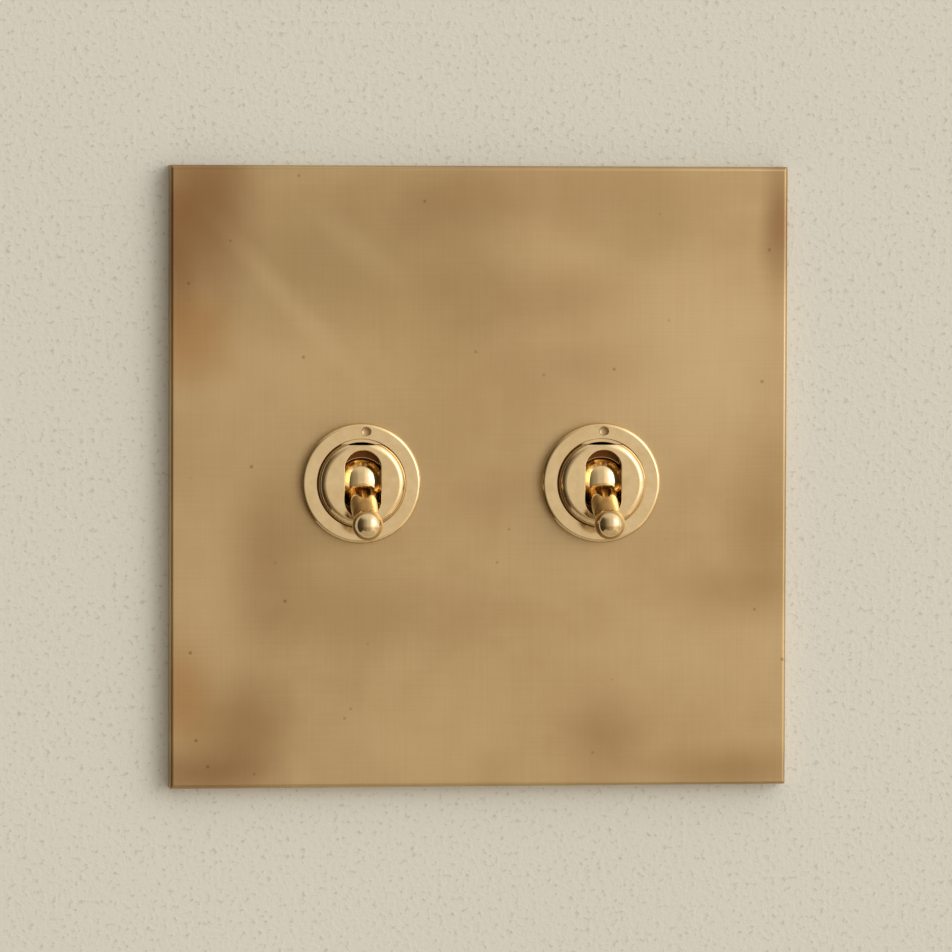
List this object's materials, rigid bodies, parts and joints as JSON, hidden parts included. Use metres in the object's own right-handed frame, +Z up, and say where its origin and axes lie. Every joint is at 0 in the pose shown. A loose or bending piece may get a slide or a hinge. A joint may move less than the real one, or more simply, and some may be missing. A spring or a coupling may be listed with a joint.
{
  "type": "two-gang toggle light switch",
  "caption": "Square brass wall plate without visible screws, with toggle levers side by side in round ring nuts, and changeover switches on a steel yoke behind it.",
  "frame": {"origin": "middle of the face plate's back face, on the wall", "axes": "+X to the right seen from the room, +Y into the wall, +Z up"},
  "size_m": [0.086, 0.0425, 0.086],
  "materials": {
    "aged_brass_plate": "satin, aged and hand finished",
    "polished_brass": "polished",
    "plain_brass": "as machined",
    "contact_brass": "rolled strip",
    "zinc_steel": "zinc plated",
    "screw_steel": "bright plated",
    "spring_steel": "drawn wire",
    "silver_contact": "smooth",
    "dark_moulding": "moulded, fine texture",
    "nylon": "moulded"
  },
  "bodies": {
    "base": {"faceplate": "aged_brass_plate", "yoke": "zinc_steel", "box_screws": "screw_steel", "earth_clamp": "plain_brass", "earth_screw": "plain_brass", "ring_nut_left": "polished_brass", "ring_nut_right": "polished_brass", "bush_left": "polished_brass", "bush_right": "polished_brass", "lock_nut_left": "plain_brass", "lock_nut_right": "plain_brass", "pivot_pin_left": "screw_steel", "pivot_pin_right": "screw_steel", "rocker_pin_left": "screw_steel", "rocker_pin_right": "screw_steel", "terminal_upper_left": "contact_brass", "terminal_upper_right": "contact_brass", "terminal_common_left": "contact_brass", "terminal_common_right": "contact_brass", "terminal_lower_left": "contact_brass", "terminal_lower_right": "contact_brass", "fixed_contacts_left": "silver_contact", "fixed_contacts_right": "silver_contact", "terminal_screws_left": "screw_steel", "terminal_screws_right": "screw_steel", "housing_left": "dark_moulding", "housing_right": "dark_moulding", "cradle_left": "zinc_steel", "cradle_right": "zinc_steel"},
    "lever_left": {"lever_left": "polished_brass", "follower_spring_left": "spring_steel"},
    "follower_left": {"follower_cap_left": "nylon"},
    "rocker_left": {"rocker_left": "contact_brass", "rocker_contacts_left": "silver_contact"},
    "lever_right": {"lever_right": "polished_brass", "follower_spring_right": "spring_steel"},
    "follower_right": {"follower_cap_right": "nylon"},
    "rocker_right": {"rocker_right": "contact_brass", "rocker_contacts_right": "silver_contact"}
  },
  "joints": [
    {"name": "toggle_left", "type": "hinge", "parent": "base", "child": "lever_left", "pos_m": [-0.0167, -0.0021, -0.0008], "axis": [-1, 0, 0], "range_deg": [0, 52]},
    {"name": "follower_slide_left", "type": "slide", "parent": "lever_left", "child": "follower_left", "axis": [0, -0.8988, -0.4384], "range_m": [0, 0.001], "stiffness_N_per_m": 400, "springref_m": -0.001, "deforming": ["follower_spring_left"]},
    {"name": "rocker_swing_left", "type": "hinge", "parent": "base", "child": "rocker_left", "pos_m": [-0.0167, 0.0182, -0.0008], "axis": [1, 0, 0], "range_deg": [0, 20]},
    {"name": "toggle_right", "type": "hinge", "parent": "base", "child": "lever_right", "pos_m": [0.0167, -0.0021, -0.0008], "axis": [-1, 0, 0], "range_deg": [0, 52]},
    {"name": "follower_slide_right", "type": "slide", "parent": "lever_right", "child": "follower_right", "axis": [0, -0.8988, -0.4384], "range_m": [0, 0.001], "stiffness_N_per_m": 400, "springref_m": -0.001, "deforming": ["follower_spring_right"]},
    {"name": "rocker_swing_right", "type": "hinge", "parent": "base", "child": "rocker_right", "pos_m": [0.0167, 0.0182, -0.0008], "axis": [1, 0, 0], "range_deg": [0, 20]}
  ],
  "couplings": [
    {"joint": "rocker_swing_left", "follows": "toggle_left", "ratio": 0.38461},
    {"joint": "rocker_swing_right", "follows": "toggle_right", "ratio": 0.38461}
  ]
}
